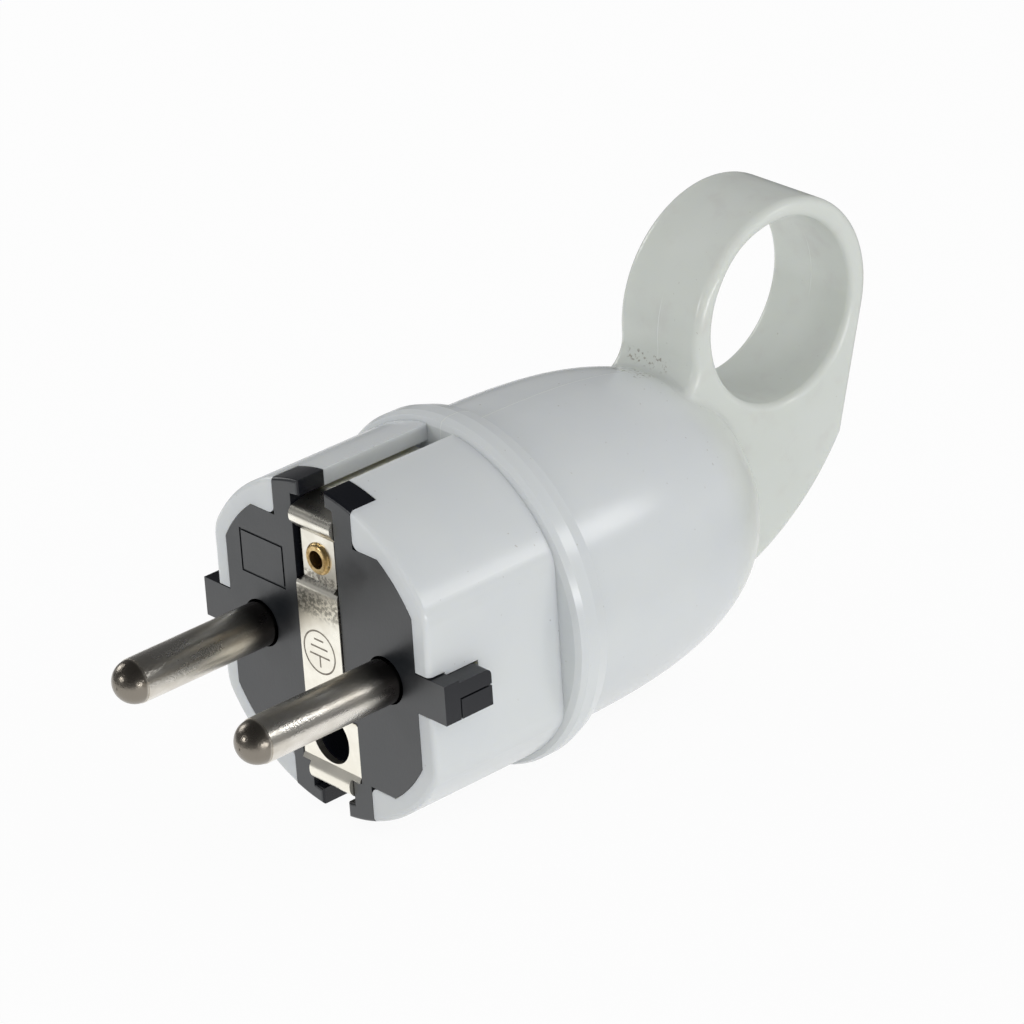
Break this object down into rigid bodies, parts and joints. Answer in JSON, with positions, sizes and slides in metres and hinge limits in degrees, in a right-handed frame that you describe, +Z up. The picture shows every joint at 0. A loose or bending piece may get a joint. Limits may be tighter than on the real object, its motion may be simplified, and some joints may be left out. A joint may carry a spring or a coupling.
{
  "type": "type f plug",
  "caption": "Earthed round two-pin plug with side earth contacts, side guide arms, a domed housing and a pull ring",
  "frame": {"origin": "under the middle of the whole plug, at its lowest point", "axes": "+Z up, the pins point along -Y, the two pins lie side by side along X"},
  "size_m": [0.0386, 0.092, 0.0493],
  "materials": {
    "white_plastic": "smooth moulded white plastic",
    "black_plastic": "moulded black plastic",
    "nickel": "nickel plated, lightly worn",
    "brass": "plain brass",
    "steel": "zinc plated steel",
    "grey_rubber": "soft grey bush"
  },
  "bodies": {
    "root": {"rear_housing": "white_plastic", "front_shell": "white_plastic", "contact_carrier": "black_plastic", "carrier_cover": "black_plastic", "pin_left": "nickel", "pin_right": "nickel", "terminal_screw_left": "steel", "terminal_screw_right": "steel", "earth_strap": "nickel", "strap_rivet": "brass", "earth_terminal": "brass", "earth_screw": "steel", "earth_clamp_washer": "steel", "assembly_screw": "steel", "screw_retaining_washer": "black_plastic", "threaded_insert": "brass", "cord_clamp": "white_plastic", "cord_clamp_screw_left": "steel", "cord_clamp_screw_right": "steel", "inlet_bush": "grey_rubber"}
  },
  "joints": []
}
